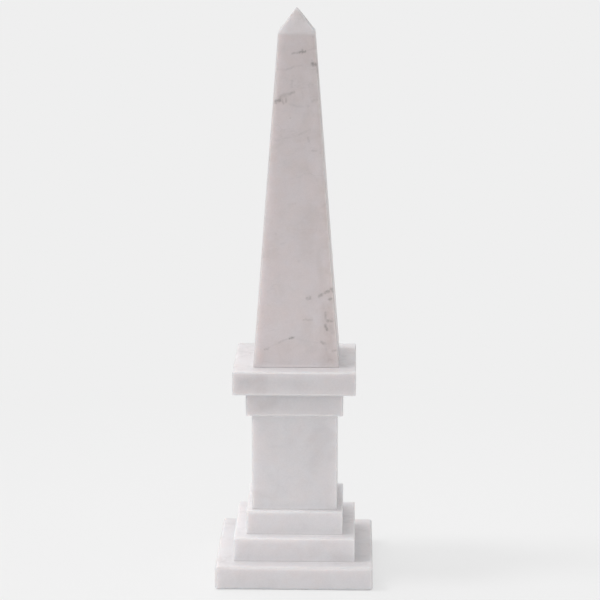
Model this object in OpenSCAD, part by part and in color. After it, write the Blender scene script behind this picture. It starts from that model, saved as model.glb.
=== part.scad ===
// Marble table obelisk: a tapering shaft on a stepped square pedestal.
// Seven stones, each sawn, honed and eased on its edges by itself, are stacked
// and glued with thin beds of resin. Millimetres, +Z up, and the origin is at
// the middle of the underside. The front looks along -Y.

/* [Stone slabs] */
// Thickness of the slab stock that the base, the steps, the neck and the cap are cut from
slab_t = 20; // [12:1:30]
// Radius of the eased edges on every pedestal stone above the base
arris = 1.2; // [0.6:0.1:2.5]
// Radius of the heavier rounding on the base slab's edges
base_arris = 2.5; // [1:0.1:4]

/* [Pedestal] */
// Width of the square die, the tall block between the steps and the neck
die_w = 71; // [55:1:95]
// Height of the die
die_h = 81.5; // [50:0.5:130]
// Ledge of the upper step beyond the die
upper_ledge = 4.75; // [3:0.25:12]
// Ledge of the middle step beyond the upper step
middle_ledge = 10.25; // [5:0.25:20]
// Ledge of the base slab beyond the middle step
base_ledge = 15; // [8:0.5:30]
// Overhang of the neck slab beyond the die
neck_overhang = 4.75; // [3:0.25:12]
// Overhang of the cap slab beyond the neck slab
cap_overhang = 10.5; // [6:0.5:20]

/* [Shaft] */
// Width of the shaft's square foot
foot_w = 71; // [50:1:76]
// Width of the shaft at its shoulder, where the point begins
shoulder_w = 30; // [20:1:45]
// Height of the tapering part, from the foot to the shoulder
taper_h = 273; // [180:1:360]
// Height of the pyramid point above the shoulder
point_h = 19.5; // [12:0.5:40]
// Width of the blunt tip
tip_w = 1; // [0.5:0.1:3]
// Width of the narrow flat that eases each long edge
shaft_arris = 1.5; // [0.8:0.1:3]
// How far the shaft was set to the right of the pedestal's centre line
shaft_shift = 1.2; // [0:0.1:3]

/* [Resin beds] */
// Thickness of the resin between two stones
bed_t = 0.3; // [0.2:0.1:1]
// How far the resin stops short of the smaller stone's faces
bed_setback = 2.5; // [2.5:0.5:6]

/* [Hidden] */
arc_sides = 48;

upper_w = die_w + 2 * upper_ledge;
middle_w = upper_w + 2 * middle_ledge;
base_w = middle_w + 2 * base_ledge;
neck_w = die_w + 2 * neck_overhang;
cap_w = neck_w + 2 * cap_overhang;

course_h = slab_t + bed_t;
middle_z = course_h;
upper_z = middle_z + course_h;
die_z = upper_z + course_h;
neck_z = die_z + die_h + bed_t;
cap_z = neck_z + course_h;
shaft_z = cap_z + course_h;

// A rectangle whose corners are true arcs
module eased_outline(width, height, radius) {
    for (side_x = [-1, 1], side_y = [-1, 1])
        translate([side_x * (width / 2 - radius), side_y * (height / 2 - radius)])
            circle(radius, $fn = arc_sides);
    square([width - 2 * radius, height], center = true);
    square([width, height - 2 * radius], center = true);
}

// A square block on z = 0 with all twelve edges rounded: what is left when the
// rounded profiles are run through it along each of the three axes
module eased_block(width, height, radius) {
    translate([0, 0, height / 2])
        intersection() {
            linear_extrude(height, center = true)
                eased_outline(width, width, radius);
            rotate([90, 0, 0])
                linear_extrude(width, center = true)
                    eased_outline(width, height, radius);
            rotate([90, 0, 90])
                linear_extrude(width, center = true)
                    eased_outline(width, height, radius);
        }
}

// The shaft's outline from half widths at its foot, shoulder and tip, with the
// lowest edge eased
module shaft_outline(foot, shoulder, tip) {
    ease = shaft_arris * cos(45);
    lean = (foot - shoulder) / taper_h;
    polygon([
        [ease - foot, 0],
        [foot - ease, 0],
        [foot - lean * ease, ease],
        [shoulder, taper_h],
        [tip, taper_h + point_h],
        [-tip, taper_h + point_h],
        [-shoulder, taper_h],
        [lean * ease - foot, ease]
    ]);
}

// Two passes square to each other make the four faces. Two more along the
// diagonals take a narrow flat off each long edge, and it closes in to the tip.
module tapered_shaft() {
    intersection_for (angle = [0, 45, 90, 135]) {
        diagonal = angle % 90 != 0;
        reach = diagonal ? 1 / cos(45) : 1;
        flat = diagonal ? shaft_arris / 2 : 0;
        rotate([90, 0, angle])
            linear_extrude(2 * foot_w, center = true)
                shaft_outline(reach * foot_w / 2 - flat, reach * shoulder_w / 2 - flat, tip_w / 2);
    }
}

// Resin between two stones, a thin square held back from the smaller one's faces
module bed(smaller_w, top_z) {
    color("tan")
        translate([0, 0, top_z - bed_t])
            linear_extrude(bed_t)
                square(smaller_w - 2 * bed_setback, center = true);
}

module base_slab() {
    color("gainsboro")
        eased_block(base_w, slab_t, base_arris);
}

module middle_step() {
    color("gainsboro")
        translate([0, 0, middle_z])
            eased_block(middle_w, slab_t, arris);
}

module upper_step() {
    color("gainsboro")
        translate([0, 0, upper_z])
            eased_block(upper_w, slab_t, arris);
}

module die() {
    color("gainsboro")
        translate([0, 0, die_z])
            eased_block(die_w, die_h, arris);
}

module neck_slab() {
    color("gainsboro")
        translate([0, 0, neck_z])
            eased_block(neck_w, slab_t, arris);
}

module cap_slab() {
    color("gainsboro")
        translate([0, 0, cap_z])
            eased_block(cap_w, slab_t, arris);
}

module shaft() {
    color("mistyrose")
        translate([shaft_shift, 0, shaft_z])
            tapered_shaft();
}

module shaft_bed() {
    translate([shaft_shift, 0, 0])
        bed(foot_w, shaft_z);
}

base_slab();
bed(middle_w, middle_z);  // middle_step_bed
middle_step();
bed(upper_w, upper_z);  // upper_step_bed
upper_step();
bed(die_w, die_z);  // die_bed
die();
bed(die_w, neck_z);  // neck_slab_bed
neck_slab();
bed(neck_w, cap_z);  // cap_slab_bed
cap_slab();
shaft_bed();
shaft();
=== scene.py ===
"""How the marble table obelisk looks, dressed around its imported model.

Every stone of the model is replaced by a finer mesh of the same size, with hand-eased edges,
and each has marble of its own, cut from another place in the block. Sizes in this script are
in millimetres until they reach Blender, which works in metres.
"""
import math

import bpy
import numpy as np
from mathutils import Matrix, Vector


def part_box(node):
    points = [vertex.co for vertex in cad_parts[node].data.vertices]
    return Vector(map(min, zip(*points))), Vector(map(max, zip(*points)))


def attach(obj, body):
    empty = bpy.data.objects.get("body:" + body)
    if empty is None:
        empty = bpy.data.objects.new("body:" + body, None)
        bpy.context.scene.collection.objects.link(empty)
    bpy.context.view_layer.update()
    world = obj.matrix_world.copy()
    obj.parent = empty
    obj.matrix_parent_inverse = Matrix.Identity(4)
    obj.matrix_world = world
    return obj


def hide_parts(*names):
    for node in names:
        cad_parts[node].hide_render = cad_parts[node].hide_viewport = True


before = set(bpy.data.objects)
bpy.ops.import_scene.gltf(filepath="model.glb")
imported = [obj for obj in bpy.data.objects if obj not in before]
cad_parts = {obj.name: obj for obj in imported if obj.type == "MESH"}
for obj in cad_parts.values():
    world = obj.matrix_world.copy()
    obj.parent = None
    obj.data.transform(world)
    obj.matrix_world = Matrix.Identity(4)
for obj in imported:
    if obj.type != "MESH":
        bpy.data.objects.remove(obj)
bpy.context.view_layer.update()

MM = 0.001
SEED = 11

# Stones: the grid that they are cut into and how their edges are eased
STACK = ["base_slab", "middle_step", "upper_step", "die", "neck_slab", "cap_slab", "shaft"]
GRID_STEP = 1.5
ARC_STEPS = 6
EDGE_RADIUS = {"base_slab": 2.5}
USUAL_RADIUS = 1.2
RADIUS_WAVER = 0.15
WAVER_LENGTH = 24.0
WAVES = 7
WAVE_SPREAD = (0.7, 1.8)
STANDING = ["middle_step", "upper_step", "die", "shaft"]
STANDING_SHARPNESS = 0.85
STANDING_FADE = 4.0
JOINT_REACH = 4.7

# Resin: how far it is pressed out beyond the model's bed, and how much less in places
RESIN_SPREAD = {"shaft_bed": 1.85}
USUAL_SPREAD = 2.5
RESIN_WAVER = 0.12

# The shaft's form, from the model's box and its own sizes
SHOULDER_W = 30.0
TAPER_H = 273.0
POINT_H = 19.5
TIP_W = 1.0
SHOULDER_EASE = 0.8

# Colours as linear red, green and blue
VEIN_DARK = (0.262, 0.236, 0.230)
# Painted light: how much paler the shaft's right face is made
RIGHT_FACE_PAINTED_LIGHT = (1.16, 1.17, 1.17)
POINT_TINT = (0.90, 0.93, 0.935)
RESIN_WHITE = (0.770, 0.745, 0.745)
RESIN_DARKER = 0.8
BACKDROP_GREY = 0.863

# The two kinds of marble: its colours, how strong each part of its figure is, how the block is
# turned, how deep light goes into it, and how much painted light brightens it in a joint. A
# shoulder is the height above which the point of the shaft has a tint of its own.
PEDESTAL_LOOK = {
    "white": (0.738, 0.719, 0.732),
    "grey": (0.585, 0.562, 0.572),
    "warm": (1.0, 0.988, 0.984),
    "stain_and_shade": (0.450, 0.405, 0.400),
    "clouds": 0.28,
    "veins": 0.14,
    "streaks": 0.16,
    "specks": 0.0,
    "turn": (0.5, 0.3, 0.9),
    "depth": 9.0,
    "joint_painted_light": 0.05,
}
SHAFT_LOOK = {
    "white": (0.745, 0.692, 0.702),
    "grey": (0.590, 0.543, 0.534),
    "warm": (1.0, 0.985, 0.975),
    # Its stain colour also serves as painted shade along the right edge of the front
    "stain_and_shade": (0.560, 0.490, 0.470),
    "clouds": 0.3,
    "veins": 0.3,
    "streaks": 0.5,
    "specks": 0.6,
    "turn": (0.0, 0.1, 0.0),
    "depth": 12.0,
    "joint_painted_light": 0.0,
    "shoulder": TAPER_H,
}
STONE_TONE = {
    "base_slab": 0.983,
    "middle_step": 1.035,
    "upper_step": 1.05,
    "die": 1.034,
    "neck_slab": 0.992,
    "cap_slab": 0.990,
}

# Where in the block the stones are cut from: one step further for each pedestal stone
PEDESTAL_CUTS = (130.0, 47.0, -61.0)
SHAFT_CUT = (900.0, 0.0, 0.0)

# The marble's figure. A noise has the size of its lumps, its detail, and its roughness and
# distortion where they aren't the usual ones. Limits are the two values between which a feature
# comes in, and a squeeze draws the figure out along x and y. The first limits are depths behind
# the front, where the figure is faint.
FRONT_LIMITS = (2.0, 14.0)
CLOUD_NOISE = (30.0, 4.0, 0.6, 0.8)
CLOUD_LIMITS = (0.48, 0.72)
CLOUDS_BEHIND = 2.0
HAZE_NOISE = (9.0, 4.0, 0.6)
HAZE_LIMITS = (0.35, 0.7)
HAZE_SHARES = (0.01, 0.10)
WARMTH_NOISE = (17.0, 2.0)
WARMTH_LIMITS = (0.35, 0.65)
GRAIN_SIZE = 0.9
GRAIN_SHADES = (0.983, 1.012)
PATCH_NOISE = (38.0, 1.0)
PATCH_LIMITS = (0.46, 0.6)
VEIN_NOISE = (24.0, 4.0, 0.5)
VEIN_MIDDLE = 0.5
VEIN_WIDTH = 0.014
VEIN_SQUEEZE = (0.5, 0.5, 1.5)
STREAK_NOISE = (5.5, 2.0, 0.6)
STREAK_LIMITS = (0.64, 0.76)
STREAK_SQUEEZE = (0.28, 0.28, 1.5)
SPECK_SPACING = 9.0
SPECK_LIMITS = (0.05, 0.13)
FIGURE_IN_FRONT = 0.25
MARK_BREAKS = (1.8, 3.0)
MARK_BREAK_LIMITS = (0.35, 0.6)
MARK_LEAST = 0.45
STAIN_BREAKS = (4.0, 3.0)
STAIN_BREAK_LIMITS = (0.3, 0.65)
STAIN_LEAST = 0.5
# Where the painted light on the shaft's right face comes in
RIGHT_FACE_LIGHT_LIMITS = (-5.0, -0.5)
POINT_LIMITS = (-6.0, 2.0)

# How noise shakes a place: the size of the noise, and twice the furthest that it moves it. The
# last line is the detail and roughness of that noise.
FIGURE_SHAKE = (8.0, 4.0)
SPECK_SHAKE = (3.0, 1.5)
MARK_SHAKES = [(6.0, 2.2), (1.6, 1.2)]
STAIN_SHAKE = (12.0, 8.0)
SHAKE_DETAIL = (2.0, 0.5)

# The marble's finish, the painted shade on its rounded edges and the painted light in its joints
GLOSS_LIMITS = (0.3, 0.7)
ROUGHNESS = (0.34, 0.44)
BUMP_STRENGTH = 0.05
BUMP_DEPTH = 0.1
SUBSURFACE_RADIUS = (1.0, 0.88, 0.82)
EDGE_LIMITS = (0.0, 0.8)
# Painted shade: how much darker the rounded edges are made
EDGE_PAINTED_SHADE = 0.07
# Where the painted light in a joint comes in
JOINT_LIGHT_LIMITS = (0.2, 1.0)
RESIN_MOTTLE = 3.0
RESIN_ROUGHNESS = 0.55

# Marks that show on the front of a stone, each from one place to another across and up it, then
# how wide it spreads and how dark it is. On the shaft they are measured from the middle of its
# foot, on the pedestal from the obelisk's middle and underside. They run some way into the stone.
MARKS_RUN_IN = 0.15
SHAFT_MARKS = [
    ((3.3, 287.5), (4.6, 285.8), 2.2, 0.75),
    ((1.2, 290.4), (2.4, 289.4), 2.0, 0.5),
    ((5.6, 283.6), (6.2, 282.8), 1.8, 0.4),
    ((-3, 256.5), (2, 257.5), 1.6, 0.35),
    ((2, 257.5), (7, 258.5), 1.7, 0.7),
    ((4, 257), (5, 259.5), 1.6, 0.45),
    ((7, 258.5), (15, 261), 1.4, 0.12),
    ((13, 248.5), (18, 248), 2.8, 0.75),
    ((17, 246), (18.5, 233), 2.0, 0.45),
    ((18.5, 233), (20, 218), 1.8, 0.25),
    ((-16.5, 244), (-8.5, 243.5), 1.6, 0.1),
    ((-8.5, 243.5), (-2, 246), 1.6, 0.18),
    ((-2, 246), (4.5, 247), 1.8, 0.1),
    ((-3.5, 235), (-3.5, 230), 1.6, 0.15),
    ((-16.8, 217.8), (-13.5, 219), 2.6, 0.75),
    ((-13.5, 220.5), (-12.5, 222.5), 2.2, 0.35),
    ((-13, 222), (-7.5, 224), 2.8, 0.25),
    ((-7.5, 224), (-2, 225.5), 1.8, 0.38),
    ((-11.5, 220), (-10.5, 216.5), 1.4, 0.35),
    ((-8.5, 220.5), (-8.5, 217.5), 1.4, 0.3),
    ((-5, 216), (3, 214), 1.8, 0.15),
    ((3, 214), (10.5, 214.5), 1.8, 0.1),
    ((13, 218.5), (16, 219.5), 2.2, 0.22),
    ((-9, 189), (1, 191), 1.5, 0.08),
    ((1, 191), (11, 195), 1.5, 0.12),
    ((9.5, 188.5), (10, 185.5), 1.9, 0.25),
    ((-18, 187), (-14, 187.5), 2.2, 0.12),
    ((13, 178.5), (16, 178.5), 1.6, 0.2),
    ((-6, 134), (-1, 135.5), 1.8, 0.1),
    ((20, 132), (24, 135.5), 1.8, 0.12),
    ((-17, 110.5), (-16.5, 110), 1.6, 0.15),
    ((-12.5, 102), (-9.5, 103), 1.8, 0.12),
    ((2, 88), (3, 88.5), 1.6, 0.12),
    ((9.6, 57.4), (11, 58), 2.4, 0.52),
    ((19.3, 59.2), (21, 60.4), 2.2, 0.52),
    ((21, 60.5), (24, 61.5), 1.3, 0.25),
    ((24, 62), (27, 63.5), 2.0, 0.65),
    ((27, 63.5), (29.5, 64), 1.3, 0.25),
    ((29.6, 65.2), (31, 63.6), 2.3, 0.75),
    ((27.5, 56.5), (28.5, 57), 2.2, 0.65),
    ((24, 46), (24.5, 41.5), 1.5, 0.4),
    ((24.5, 41), (26, 38.5), 1.4, 0.4),
    ((25.9, 39.3), (26.5, 38.8), 2.0, 0.65),
    ((26.5, 39), (30, 38.6), 1.6, 0.42),
    ((30, 41), (30.5, 38.5), 1.4, 0.2),
    ((24.4, 35), (24.6, 34), 2.1, 0.7),
    ((25.1, 32.6), (25.6, 31.6), 2.0, 0.85),
    ((28.3, 34), (29.5, 29.5), 3.6, 0.14),
    ((6.5, 39.5), (13, 39.5), 1.4, 0.22),
    ((-5.5, 24.5), (-2, 25), 1.7, 0.72),
    ((-7, 24), (-14, 20.5), 1.5, 0.18),
    ((-14, 20.5), (-23, 16), 1.4, 0.07),
    ((-26, 15), (-23, 15.5), 1.6, 0.3),
    ((-2, 24), (10, 22), 1.4, 0.07),
    ((10, 22), (20.5, 20), 1.4, 0.06),
    ((21, 21), (24, 19.5), 2.0, 0.4),
    ((24, 17), (25, 15), 1.6, 0.12),
    ((30.5, 14), (33, 14.5), 1.8, 0.35),
    ((27, 6.5), (29, 6.5), 1.9, 0.15),
]
SHAFT_STAINS_AND_SHADE = [
    # Painted shade: the first darkens the front along the shaft's right edge, where less light
    # comes through the stone
    ((35, 2), (15, 268), 7.0, 0.45),
    ((15, 217), (15, 246), 6.0, 0.3),
    ((27, 3), (27, 48), 12.0, 0.5),
    ((9, 96), (9, 124), 14.0, 0.25),
    ((0, 222), (2, 256), 18.0, 0.06),
    ((9, 250), (9, 268), 12.0, 0.25),
    ((-15, 218.5), (-9, 220.5), 5.0, 0.4),
    ((12, 58), (28, 62), 9.0, 0.22),
    ((25, 43), (28, 31), 5.0, 0.35),
]
PEDESTAL_STAINS = {
    "cap_slab": [((-42, 175), (-27, 176), 8.0, 0.15), ((-29, 176), (-27, 167), 7.0, 0.1)],
    "neck_slab": [((-28, 151), (-18, 155), 8.0, 0.2)],
    "die": [
        ((-20, 88), (-8, 77.5), 7.0, 0.08),
        ((-5, 121), (-4, 120), 7.0, 0.1),
        ((10, 85), (11, 84), 6.0, 0.08),
        ((19, 131), (20, 108), 12.0, 0.07),
        ((28, 80), (28, 79), 6.0, 0.08),
    ],
}

# Light, by how much each source puts on a level surface: the sky, and lamps far away as suns.
# A lamp has its share, elevation, azimuth that its light travels to from +X, and angular width.
SKY_UPPER = 0.41
SKY_LEAN = (0.0, -0.30, 0.13)
SKY_LOWER = 0.05
HORIZON_BLUR = 0.05
LAMPS = {
    "key_light": (0.235, 55.0, 6.0, 14.0),
    "broad_light": (0.275, 55.0, -45.0, 70.0),
    "side_fill": (0.010, 8.0, 180.0, 40.0),
    "front_fill": (0.0285, 12.0, 90.0, 50.0),
}

# Floor: how much of its shading shows, and between which shares of its radius that fades
FLOOR_RADIUS = 650.0
FLOOR_SIDES = 96
FLOOR_WHITE = 0.875
FLOOR_SHOWS = 0.30
FLOOR_FADES = (0.25, 0.95)
FLOOR_DROP = 0.05

# Camera, aimed at a point on the obelisk's middle plane. Its azimuth is from the front, and its
# furthest view is in metres.
CAMERA_AIM = (3.7, 0.1, 232.3)
CAMERA_DISTANCE = 1870.0
CAMERA_AZIMUTH = 1.37
CAMERA_ELEVATION = 12.6
CAMERA_LENS = 134.3
SENSOR_WIDTH = 36.0
FURTHEST_VIEW = 50.0


def wander(points, length, rng):
    """A smooth random field from 0 to 1 that changes over about the given length."""
    total = np.zeros(len(points))
    for _ in range(WAVES):
        direction = rng.normal(size=3)
        direction /= np.linalg.norm(direction)
        turns = 2 * math.pi / (length * rng.uniform(*WAVE_SPREAD))
        total += np.sin(points @ direction * turns + rng.uniform(0, 2 * math.pi))
    return np.clip(0.5 + total / WAVES, 0, 1)


def grid_places(half, radius):
    """Where the grid cuts one axis of a block: close together over the edges, even between them."""
    inner = half - radius
    count = max(2, round(2 * inner / GRID_STEP))
    even = np.linspace(-inner, inner, count + 1)
    over_edge = inner + radius * np.tan(np.linspace(0, math.pi / 4, ARC_STEPS + 1)[1:])
    return np.concatenate([-over_edge[::-1], even, over_edge])


def grid_shell(xs, ys, zs):
    """Points and faces of a box's surface, cut by a grid at these places along each axis."""
    outside = np.zeros((len(xs), len(ys), len(zs)), bool)
    for axis in range(3):
        layers = np.moveaxis(outside, axis, 0)
        layers[0] = True
        layers[-1] = True
    number = np.full(outside.shape, -1)
    number[outside] = np.arange(outside.sum())
    places = np.stack(np.meshgrid(xs, ys, zs, indexing="ij"), axis=-1)
    faces = []
    for axis in range(3):
        for end in (0, -1):
            side = np.moveaxis(number, axis, 0)[end]
            corners = [side[:-1, :-1], side[1:, :-1], side[1:, 1:], side[:-1, 1:]]
            quads = np.stack(corners, axis=-1).reshape(-1, 4)
            inward = (end == 0) != (axis == 1)
            faces.append(quads[:, ::-1] if inward else quads)
    return places[outside], np.concatenate(faces)


def ease_edges(points, half, radius):
    """Pulls a box's surface in to rounded edges, with a radius for each point.

    Also gives how far round an edge each point lies: 0 on a face, 1 at the middle of the edge.
    """
    radius = radius[:, None]
    core = np.clip(points, radius - half, half - radius)
    out = points - core
    round_edge = np.sort(np.abs(out) / radius, axis=1)[:, 1]
    return core + radius * out / np.linalg.norm(out, axis=1, keepdims=True), round_edge


def eased_block(size, radius, standing, rng):
    """A block about the origin whose edges were eased by hand, so their radius wavers.

    The lowest edges of a stone that stands on a ledge are left sharper, for a tight joint.
    """
    half = np.array(size) / 2
    widest = radius * (1 + RADIUS_WAVER)
    points, faces = grid_shell(*(grid_places(h, widest) for h in half))
    wavering = radius * (1 + RADIUS_WAVER * (2 * wander(points, WAVER_LENGTH, rng) - 1))
    if standing:
        lowness = 1 - np.clip((points[:, 2] + half[2]) / STANDING_FADE, 0, 1)
        wavering *= 1 - STANDING_SHARPNESS * lowness
    eased, round_edge = ease_edges(points, half, wavering)
    return eased, round_edge, faces


def taper(points, foot_w, height):
    """Narrows a square post of the foot's width to the shaft, with its shoulder and point."""
    z = points[:, 2] + height / 2
    taper_h = height - POINT_H
    along_shaft = foot_w + (SHOULDER_W - foot_w) * z / taper_h
    along_point = TIP_W + (SHOULDER_W - TIP_W) * (height - z) / POINT_H
    apart = np.maximum(SHOULDER_EASE - np.abs(along_shaft - along_point), 0)
    width = np.minimum(along_shaft, along_point) - apart ** 2 / (4 * SHOULDER_EASE)
    return points * np.stack([width / foot_w, width / foot_w, np.ones(len(z))], axis=1)


def box_mm(node):
    """Lowest and highest corner of a node of the model."""
    return tuple(np.array(corner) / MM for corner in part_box(node))


def joint_closeness(node, points):
    """1 where a stone touches the one above or below it, 0 from JOINT_REACH away."""
    place = STACK.index(node)
    low, high = box_mm(node)
    joints = [(STACK[place - 1], low[2])] if place > 0 else []
    joints += [(STACK[place + 1], high[2])] if node != STACK[-1] else []
    closeness = np.zeros(len(points))
    for neighbour, level in joints:
        others_low, others_high = box_mm(neighbour)
        contact_low, contact_high = np.maximum(low, others_low), np.minimum(high, others_high)
        contact_low[2] = contact_high[2] = level
        away = np.linalg.norm(points - np.clip(points, contact_low, contact_high), axis=1)
        closeness = np.maximum(closeness, 1 - np.clip(away / JOINT_REACH, 0, 1))
    return closeness


def add_mesh(name, points, faces, material):
    mesh = bpy.data.meshes.new(name)
    mesh.from_pydata((points * MM).tolist(), [], faces.tolist())
    mesh.shade_smooth()
    mesh.materials.append(material)
    piece = bpy.data.objects.new(name, mesh)
    bpy.context.scene.collection.objects.link(piece)
    return piece


def stone(node, material, rng):
    """The stone that shows in place of a node of the model, at that node's size and place."""
    low, high = box_mm(node)
    radius = EDGE_RADIUS.get(node, USUAL_RADIUS)
    points, round_edge, faces = eased_block(high - low, radius, node in STANDING, rng)
    if node == "shaft":
        points = taper(points, high[0] - low[0], high[2] - low[2])
    points = points + (low + high) / 2
    piece = add_mesh(node + "_stone", points, faces, material)
    for name, values in (("joint", joint_closeness(node, points)), ("edge", round_edge)):
        attribute = piece.data.attributes.new(name, "FLOAT", "POINT")
        attribute.data.foreach_set("value", values)
    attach(piece, "root")
    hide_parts(node)


def bed(node, material, rng):
    """The resin between two stones, pressed out until it shows as a hairline in the joint."""
    low, high = box_mm(node)
    spread = RESIN_SPREAD.get(node, USUAL_SPREAD)
    half = (high - low) / 2 + np.array([spread, spread, 0])
    places = [np.linspace(-h, h, round(2 * h / GRID_STEP)) for h in half[:2]]
    points, faces = grid_shell(*places, [-half[2], half[2]])
    drawn_in = RESIN_WAVER * wander(points, WAVER_LENGTH, rng)
    points[:, :2] *= 1 - (drawn_in / half[0])[:, None]
    piece = add_mesh(node + "_resin", points + (low + high) / 2, faces, material)
    piece.data.shade_flat()
    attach(piece, "root")
    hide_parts(node)


class Tree:
    """Adds nodes to a node tree. An input is a value or the output of another node."""

    def __init__(self, tree):
        self.tree = tree
        tree.nodes.clear()

    def add(self, kind, inputs=None, output=0, **settings):
        """A new node. Gives the output that is asked for, or the node if it has none."""
        node = self.tree.nodes.new(kind)
        for name, value in settings.items():
            setattr(node, name, value)
        for name, value in (inputs or {}).items():
            if isinstance(value, bpy.types.NodeSocket):
                self.tree.links.new(value, node.inputs[name])
            else:
                node.inputs[name].default_value = value
        return node.outputs[output] if len(node.outputs) else node

    def math(self, operation, *values):
        return self.add("ShaderNodeMath", dict(enumerate(values)), operation=operation)

    def vector(self, operation, *values, output=0):
        inputs = dict(enumerate(values))
        return self.add("ShaderNodeVectorMath", inputs, output=output, operation=operation)

    def scaled(self, vector, scale):
        return self.add("ShaderNodeVectorMath", {0: vector, "Scale": scale}, operation="SCALE")

    def noise(self, at, size, detail=3.0, roughness=0.55, distortion=0.0, output=0):
        """Noise whose lumps are about the given size across, in millimetres."""
        inputs = {"Vector": at, "Scale": 1 / size, "Detail": detail, "Roughness": roughness,
                  "Distortion": distortion}
        return self.add("ShaderNodeTexNoise", inputs, output=output)

    def ramp(self, value, low, high, to_low=0.0, to_high=1.0):
        """A smooth step: to_low below low, to_high above high."""
        inputs = {"Value": value, "From Min": low, "From Max": high, "To Min": to_low,
                  "To Max": to_high}
        return self.add("ShaderNodeMapRange", inputs, interpolation_type="SMOOTHSTEP", clamp=False)

    def attribute(self, name):
        return self.add("ShaderNodeAttribute", output=2, attribute_name=name)

    def place(self):
        """Where a point is on the obelisk, in millimetres."""
        return self.scaled(self.add("ShaderNodeTexCoord", output=3), 1 / MM)

    def shaken(self, at, size, reach):
        """A place moved about by noise of the given size, by up to half of reach."""
        noise = self.noise(at, size, *SHAKE_DETAIL, output=1)
        move = self.scaled(self.vector("SUBTRACT", noise, (0.5, 0.5, 0.5)), reach)
        return self.vector("ADD", at, move)

    def marks(self, at, marks, front, run_in=1.0):
        """The darkest of the marks at each place on a front, given by its foot's y and its lean."""
        foot_y, lean = front
        at = self.vector("MULTIPLY", at, (1.0, run_in, 1.0))
        total = 0.0
        for start, end, width, darkness in marks:
            start, end = ((x, run_in * (foot_y + lean * z), z) for x, z in (start, end))
            inputs = {"At": at, "Start": start, "End": end, "Width": width, "Darkness": darkness}
            mark = self.add("ShaderNodeGroup", inputs, node_tree=bpy.data.node_groups["mark"])
            total = self.math("MAXIMUM", total, mark)
        return total

    def mix(self, factor, a, b, blend="MIX"):
        """Mixes two colours. Of the node's many sockets, 6, 7 and the third output are colours."""
        inputs = {0: factor, 6: a, 7: b}
        return self.add("ShaderNodeMix", inputs, output=2, data_type="RGBA", blend_type=blend)

    def tinted(self, factor, colour, tint):
        """A colour multiplied by a tint, by as much as the factor."""
        return self.mix(factor, colour, self.mix(1.0, colour, rgba(tint), "MULTIPLY"))


def rgba(colour):
    return (*colour, 1.0)


def new_material(name):
    material = bpy.data.materials.new(name)
    material.use_nodes = True
    return material, Tree(material.node_tree)


def make_mark_group():
    """A mark that fades out with the distance from the line between its two ends."""
    group = bpy.data.node_groups.new("mark", "ShaderNodeTree")
    for name in ("At", "Start", "End"):
        group.interface.new_socket(name, in_out="INPUT", socket_type="NodeSocketVector")
    for name in ("Width", "Darkness"):
        group.interface.new_socket(name, in_out="INPUT", socket_type="NodeSocketFloat")
    group.interface.new_socket("Darkness", in_out="OUTPUT", socket_type="NodeSocketFloat")
    tree = Tree(group)
    given = group.nodes.new("NodeGroupInput").outputs
    line = tree.vector("SUBTRACT", given["End"], given["Start"])
    offset = tree.vector("SUBTRACT", given["At"], given["Start"])
    length_squared = tree.vector("DOT_PRODUCT", line, line, output=1)
    along = tree.vector("DOT_PRODUCT", offset, line, output=1)
    share = tree.math("DIVIDE", along, length_squared)
    share = tree.math("MINIMUM", tree.math("MAXIMUM", share, 0.0), 1.0)
    nearest = tree.scaled(line, share)
    away = tree.vector("DISTANCE", offset, nearest, output=1)
    faded = tree.ramp(away, 0.0, given["Width"], given["Darkness"], 0.0)
    tree.add("NodeGroupOutput", {0: faded})


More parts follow.
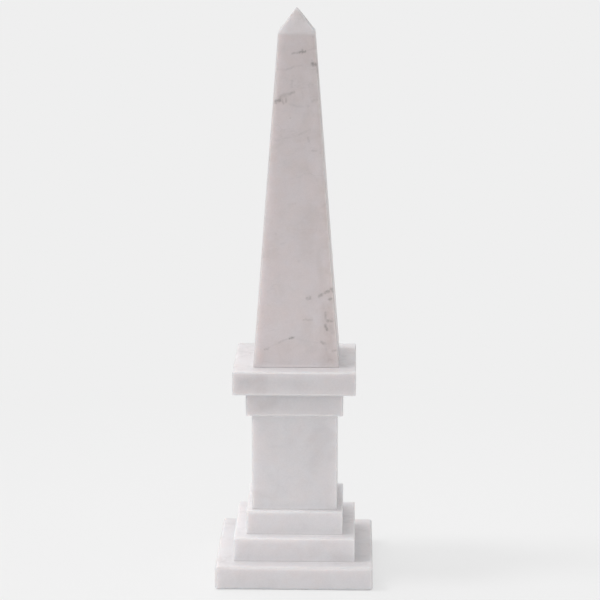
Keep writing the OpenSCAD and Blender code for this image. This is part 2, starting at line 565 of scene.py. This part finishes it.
def marble(name, look, cut, origin, front, marks, stains_and_shade):
    """Honed white marble, cut from its own place in the block, with marks, stains, painted shade
    and painted light of its own.

    Those have their places on the front of the stone. The rest of its veins and streaks are
    faint there and clear on its other faces.
    """
    material, tree = new_material(name)
    place = tree.place()
    inputs = {"Vector": place, "Location": cut, "Rotation": look["turn"]}
    at = tree.add("ShaderNodeMapping", inputs)
    own = tree.vector("SUBTRACT", place, origin)
    across, depth, rise = (tree.add("ShaderNodeSeparateXYZ", {0: own}, output=k) for k in range(3))
    foot_y, lean = front
    front_y = tree.math("MULTIPLY_ADD", rise, lean, foot_y)
    behind = tree.ramp(tree.math("SUBTRACT", depth, front_y), *FRONT_LIMITS)

    clouds = tree.ramp(tree.noise(at, *CLOUD_NOISE), *CLOUD_LIMITS)
    haze = tree.noise(at, *HAZE_NOISE)
    strength = tree.ramp(behind, 0.0, 1.0, look["clouds"], CLOUDS_BEHIND * look["clouds"])
    share = tree.math("MULTIPLY", clouds, strength)
    share = tree.math("ADD", share, tree.ramp(haze, *HAZE_LIMITS, *HAZE_SHARES))
    colour = tree.mix(share, rgba(look["white"]), rgba(look["grey"]))

    # Warm and cool patches, and grains that each catch the light a little differently
    warmth = tree.ramp(tree.noise(at, *WARMTH_NOISE), *WARMTH_LIMITS)
    colour = tree.tinted(warmth, colour, look["warm"])
    grains = tree.add("ShaderNodeTexVoronoi", {"Vector": at, "Scale": 1 / GRAIN_SIZE}, output=1)
    grain = tree.add("ShaderNodeSeparateColor", {0: grains}, output=0)
    grain = tree.ramp(grain, 0.0, 1.0, *GRAIN_SHADES)
    colour = tree.scaled(colour, grain)

    # Thin veins, streaks and specks, in patches. All but the specks lie nearly level.
    shaken = tree.shaken(at, *FIGURE_SHAKE)
    veins = tree.noise(tree.vector("MULTIPLY", shaken, VEIN_SQUEEZE), *VEIN_NOISE)
    ridge = tree.math("ABSOLUTE", tree.math("SUBTRACT", veins, VEIN_MIDDLE))
    patch = tree.ramp(tree.noise(at, *PATCH_NOISE), *PATCH_LIMITS)
    fine = tree.ramp(ridge, 0.0, VEIN_WIDTH, look["veins"], 0.0)
    streaks = tree.noise(tree.vector("MULTIPLY", shaken, STREAK_SQUEEZE), *STREAK_NOISE)
    fine = tree.math("MAXIMUM", fine, tree.ramp(streaks, *STREAK_LIMITS, 0.0, look["streaks"]))
    inputs = {"Vector": tree.shaken(at, *SPECK_SHAKE), "Scale": 1 / SPECK_SPACING}
    specks = tree.add("ShaderNodeTexVoronoi", inputs)
    fine = tree.math("MAXIMUM", fine, tree.ramp(specks, *SPECK_LIMITS, look["specks"], 0.0))
    fine = tree.math("MULTIPLY", fine, patch)
    fine = tree.math("MULTIPLY", fine, tree.ramp(behind, 0.0, 1.0, FIGURE_IN_FRONT, 1.0))

    # The marks and stains of this stone, broken up by noise. On the shaft, the first stain is
    # painted shade along the right edge of the front.
    rough = own
    for shake in MARK_SHAKES:
        rough = tree.shaken(rough, *shake)
    broken = tree.ramp(tree.noise(place, *MARK_BREAKS), *MARK_BREAK_LIMITS, MARK_LEAST, 1.0)
    dark = tree.math("MULTIPLY", tree.marks(rough, marks, front, MARKS_RUN_IN), broken)
    dark = tree.math("MAXIMUM", dark, fine)
    stain_and_shade_amount = tree.marks(tree.shaken(own, *STAIN_SHAKE), stains_and_shade, front)
    broken = tree.ramp(tree.noise(place, *STAIN_BREAKS), *STAIN_BREAK_LIMITS, STAIN_LEAST, 1.0)
    stain_and_shade_amount = tree.math("MULTIPLY", stain_and_shade_amount, broken)
    colour = tree.mix(stain_and_shade_amount, colour, rgba(look["stain_and_shade"]))
    colour = tree.mix(dark, colour, rgba(VEIN_DARK))

    # Painted light makes the shaft's right face a little paler; its point is darker and cooler
    if "shoulder" in look:
        right = tree.ramp(tree.math("ADD", across, front_y), *RIGHT_FACE_LIGHT_LIMITS)
        colour = tree.tinted(tree.math("MULTIPLY", behind, right), colour, RIGHT_FACE_PAINTED_LIGHT)
        point = tree.ramp(rise, *(look["shoulder"] + limit for limit in POINT_LIMITS))
        colour = tree.tinted(point, colour, POINT_TINT)

    # Painted shade that darkens the rounded edges a little, and painted light that brightens the
    # joints a little, as if lit by the neighbouring stone
    edge_shade = tree.ramp(tree.attribute("edge"), *EDGE_LIMITS, 1.0, 1.0 - EDGE_PAINTED_SHADE)
    lit = tree.ramp(tree.attribute("joint"), *JOINT_LIGHT_LIMITS, 1.0, 1.0 + look["joint_painted_light"])
    colour = tree.scaled(colour, tree.math("MULTIPLY", edge_shade, lit))

    bump = tree.add("ShaderNodeBump", {
        "Height": grain,
        "Strength": BUMP_STRENGTH,
        "Distance": BUMP_DEPTH * MM,
    })
    shader = tree.add("ShaderNodeBsdfPrincipled", {
        "Base Color": colour,
        "Roughness": tree.ramp(haze, *GLOSS_LIMITS, *ROUGHNESS),
        "Normal": bump,
        "Subsurface Weight": tree.ramp(tree.attribute("joint"), 0.0, 1.0, 1.0, 0.0),
        "Subsurface Radius": SUBSURFACE_RADIUS,
        "Subsurface Scale": look["depth"] * MM,
    })
    tree.add("ShaderNodeOutputMaterial", {"Surface": shader})
    return material


def resin():
    material, tree = new_material("resin")
    mottle = tree.noise(tree.place(), RESIN_MOTTLE)
    darker = [RESIN_DARKER * part for part in RESIN_WHITE]
    colour = tree.mix(mottle, rgba(RESIN_WHITE), rgba(darker))
    inputs = {"Base Color": colour, "Roughness": RESIN_ROUGHNESS}
    shader = tree.add("ShaderNodeBsdfPrincipled", inputs)
    tree.add("ShaderNodeOutputMaterial", {"Surface": shader})
    return material


def seen_rays(tree):
    """1 for rays that show the backdrop itself: from the camera, in a gloss or through glass."""
    path = tree.tree.nodes.new("ShaderNodeLightPath")
    seen = tree.math("MAXIMUM", path.outputs["Is Camera Ray"], path.outputs["Is Glossy Ray"])
    return tree.math("MAXIMUM", seen, path.outputs["Is Transmission Ray"])


def make_world():
    """A soft sky over a darker lower half, brighter in front. Where it shows, it is flat grey."""
    world = bpy.data.worlds.new("studio")
    bpy.context.scene.world = world
    world.use_nodes = True
    tree = Tree(world.node_tree)
    direction = tree.add("ShaderNodeTexCoord", output=0)
    height = tree.add("ShaderNodeSeparateXYZ", {0: direction}, output=2)
    lean = tree.vector("DOT_PRODUCT", direction, SKY_LEAN, output=1)
    above = tree.ramp(height, -HORIZON_BLUR, HORIZON_BLUR)
    upper = tree.math("ADD", lean, SKY_UPPER - SKY_LOWER)
    light = tree.math("ADD", tree.math("MULTIPLY", upper, above), SKY_LOWER)
    colour = tree.mix(seen_rays(tree), light, rgba([BACKDROP_GREY] * 3))
    background = tree.add("ShaderNodeBackground", {"Color": colour, "Strength": 1.0})
    tree.add("ShaderNodeOutputWorld", {"Surface": background})


def direction_to(azimuth, elevation):
    """The direction at an azimuth from +X and an elevation, both in degrees."""
    azimuth, elevation = math.radians(azimuth), math.radians(elevation)
    level = math.cos(elevation)
    return Vector((math.cos(azimuth) * level, math.sin(azimuth) * level, math.sin(elevation)))


def make_lamp(name, share, elevation, azimuth, width):
    data = bpy.data.lights.new(name, "SUN")
    data.energy = share * math.pi / math.sin(math.radians(elevation))
    data.angle = math.radians(width)
    lamp = bpy.data.objects.new(name, data)
    bpy.context.scene.collection.objects.link(lamp)
    along = direction_to(azimuth, -elevation)
    lamp.rotation_euler = along.to_track_quat("-Z", "Y").to_euler()


def make_floor():
    """A round white table top. It shows its shadows faintly, and fades into the backdrop."""
    turns = [2 * math.pi * k / FLOOR_SIDES for k in range(FLOOR_SIDES)]
    rim = [(FLOOR_RADIUS * math.cos(t), FLOOR_RADIUS * math.sin(t), -FLOOR_DROP) for t in turns]
    material, tree = new_material("floor")
    floor = add_mesh("floor", np.array(rim), np.arange(FLOOR_SIDES)[None], material)
    at = tree.add("ShaderNodeTexCoord", output=3)
    away = tree.vector("LENGTH", at, output=1)
    fades = (share * FLOOR_RADIUS * MM for share in FLOOR_FADES)
    shows = tree.ramp(away, *fades, FLOOR_SHOWS, 0.0)
    lit = tree.add("ShaderNodeBsdfDiffuse", {"Color": rgba([FLOOR_WHITE] * 3)})
    flat = tree.add("ShaderNodeEmission", {"Color": rgba([BACKDROP_GREY] * 3), "Strength": 1.0})
    faded = tree.add("ShaderNodeMixShader", {0: shows, 1: flat, 2: lit})
    surface = tree.add("ShaderNodeMixShader", {0: seen_rays(tree), 1: lit, 2: faded})
    tree.add("ShaderNodeOutputMaterial", {"Surface": surface})


def make_camera():
    data = bpy.data.cameras.new("camera")
    data.lens = CAMERA_LENS
    data.sensor_width = SENSOR_WIDTH
    data.clip_end = FURTHEST_VIEW
    camera = bpy.data.objects.new("camera", data)
    bpy.context.scene.collection.objects.link(camera)
    back = direction_to(CAMERA_AZIMUTH - 90.0, CAMERA_ELEVATION)
    camera.location = (Vector(CAMERA_AIM) + back * CAMERA_DISTANCE) * MM
    camera.rotation_euler = back.to_track_quat("Z", "Y").to_euler()
    bpy.context.scene.camera = camera


def toned(look, tone):
    """The same marble, a little darker or lighter."""
    return look | {name: tuple(tone * part for part in look[name]) for name in ("white", "grey")}


make_mark_group()
rng = np.random.default_rng(SEED)
for number, node in enumerate(STACK[:-1]):
    look = toned(PEDESTAL_LOOK, STONE_TONE[node])
    cut = tuple(number * step for step in PEDESTAL_CUTS)
    front = (box_mm(node)[0][1], 0.0)
    stains_and_shade = PEDESTAL_STAINS.get(node, [])
    material = marble(node + "_marble", look, cut, (0.0, 0.0, 0.0), front, [], stains_and_shade)
    stone(node, material, rng)

low, high = box_mm("shaft")
foot_middle = ((low[0] + high[0]) / 2, 0.0, low[2])
front = (low[1], (high[1] - SHOULDER_W / 2) / (high[2] - POINT_H - low[2]))
material = marble(
    "shaft_marble", SHAFT_LOOK, SHAFT_CUT, foot_middle, front, SHAFT_MARKS, SHAFT_STAINS_AND_SHADE
)
stone("shaft", material, rng)

resin_material = resin()
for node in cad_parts:
    if node.endswith("_bed"):
        bed(node, resin_material, rng)

make_world()
for name, settings in LAMPS.items():
    make_lamp(name, *settings)
make_floor()
make_camera()
bpy.context.scene.view_settings.view_transform = "Standard"
